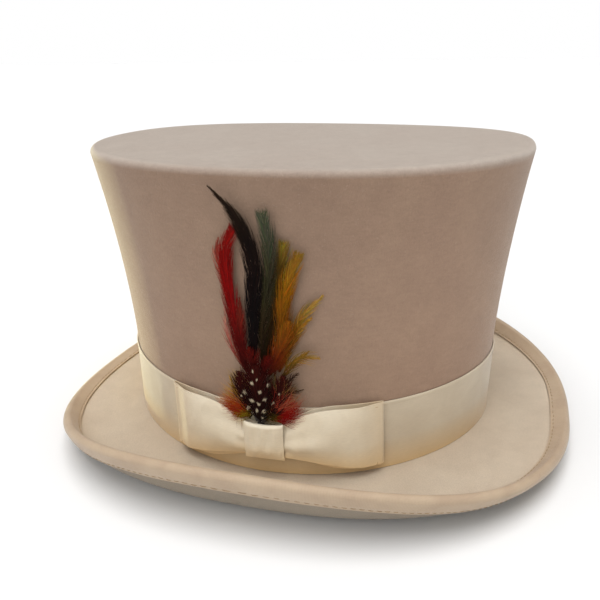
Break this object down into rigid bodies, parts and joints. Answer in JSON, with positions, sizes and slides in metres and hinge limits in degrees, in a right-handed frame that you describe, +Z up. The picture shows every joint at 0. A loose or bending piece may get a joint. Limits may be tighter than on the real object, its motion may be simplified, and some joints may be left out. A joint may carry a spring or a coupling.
{
  "type": "top hat",
  "caption": "Felt top hat with a flared crown, bound and curled brim, ribbon band with a flat bow, and a pull-out feather mount.",
  "frame": {"origin": "under the centre of the brim's outline, at the height of the surface that the hat stands on", "axes": "+Z up through the tip; -Y the wearer's front; +X the wearer's left, the side with the bow"},
  "size_m": [0.268, 0.2866, 0.1593],
  "materials": {
    "felt": "matte cream wool felt with short fibres",
    "ribbon": "ivory grosgrain ribbon with a soft satin sheen",
    "binding_ribbon": "cream ribbon, machine stitched",
    "leather": "tan sweatband leather, satin",
    "satin": "off-white satin",
    "reed": "translucent off-white cord",
    "wire": "drawn steel wire",
    "binding_thread": "dark waxed thread",
    "feather_black": "glossy dark hackle",
    "feather_red": "dyed red hackle",
    "feather_pink": "dyed pinkish red hackle",
    "feather_green": "dyed grey-green hackle",
    "feather_olive": "dyed dark olive hackle",
    "feather_yellow": "dyed yellow hackle",
    "feather_orange": "dyed orange hackle",
    "feather_spotted": "dark guinea-fowl feather with pale spots"
  },
  "bodies": {
    "hat_body": {"felt_crown": "felt", "felt_brim": "felt", "brim_binding": "binding_ribbon", "brim_wire": "wire", "hat_band": "ribbon", "bow_backing": "ribbon", "bow_knot": "ribbon", "bow_left_loop": "ribbon", "bow_right_loop": "ribbon", "sweatband": "leather", "sweatband_reed": "reed", "sweatband_bow": "satin", "lining_side": "satin", "lining_tip": "satin"},
    "feather_mount": {"feather_stem": "binding_thread", "feather_quill_bundle": "binding_thread", "feather_black": "feather_black", "feather_red_tall": "feather_red", "feather_red_outer": "feather_red", "feather_pink_wisp": "feather_pink", "feather_red_short": "feather_red", "feather_green": "feather_green", "feather_olive": "feather_olive", "feather_yellow_tall": "feather_yellow", "feather_yellow_side": "feather_yellow", "feather_yellow_low": "feather_yellow", "feather_orange": "feather_orange", "guinea_feather_left": "feather_spotted", "guinea_feather_centre": "feather_spotted", "guinea_feather_right": "feather_spotted", "fluff_left": "feather_orange", "fluff_right": "feather_red"}
  },
  "joints": [
    {"name": "feather_mount_slide", "type": "slide", "parent": "hat_body", "child": "feather_mount", "axis": [0.1464, 0.0198, 0.989], "range_m": [0, 0.045]}
  ]
}
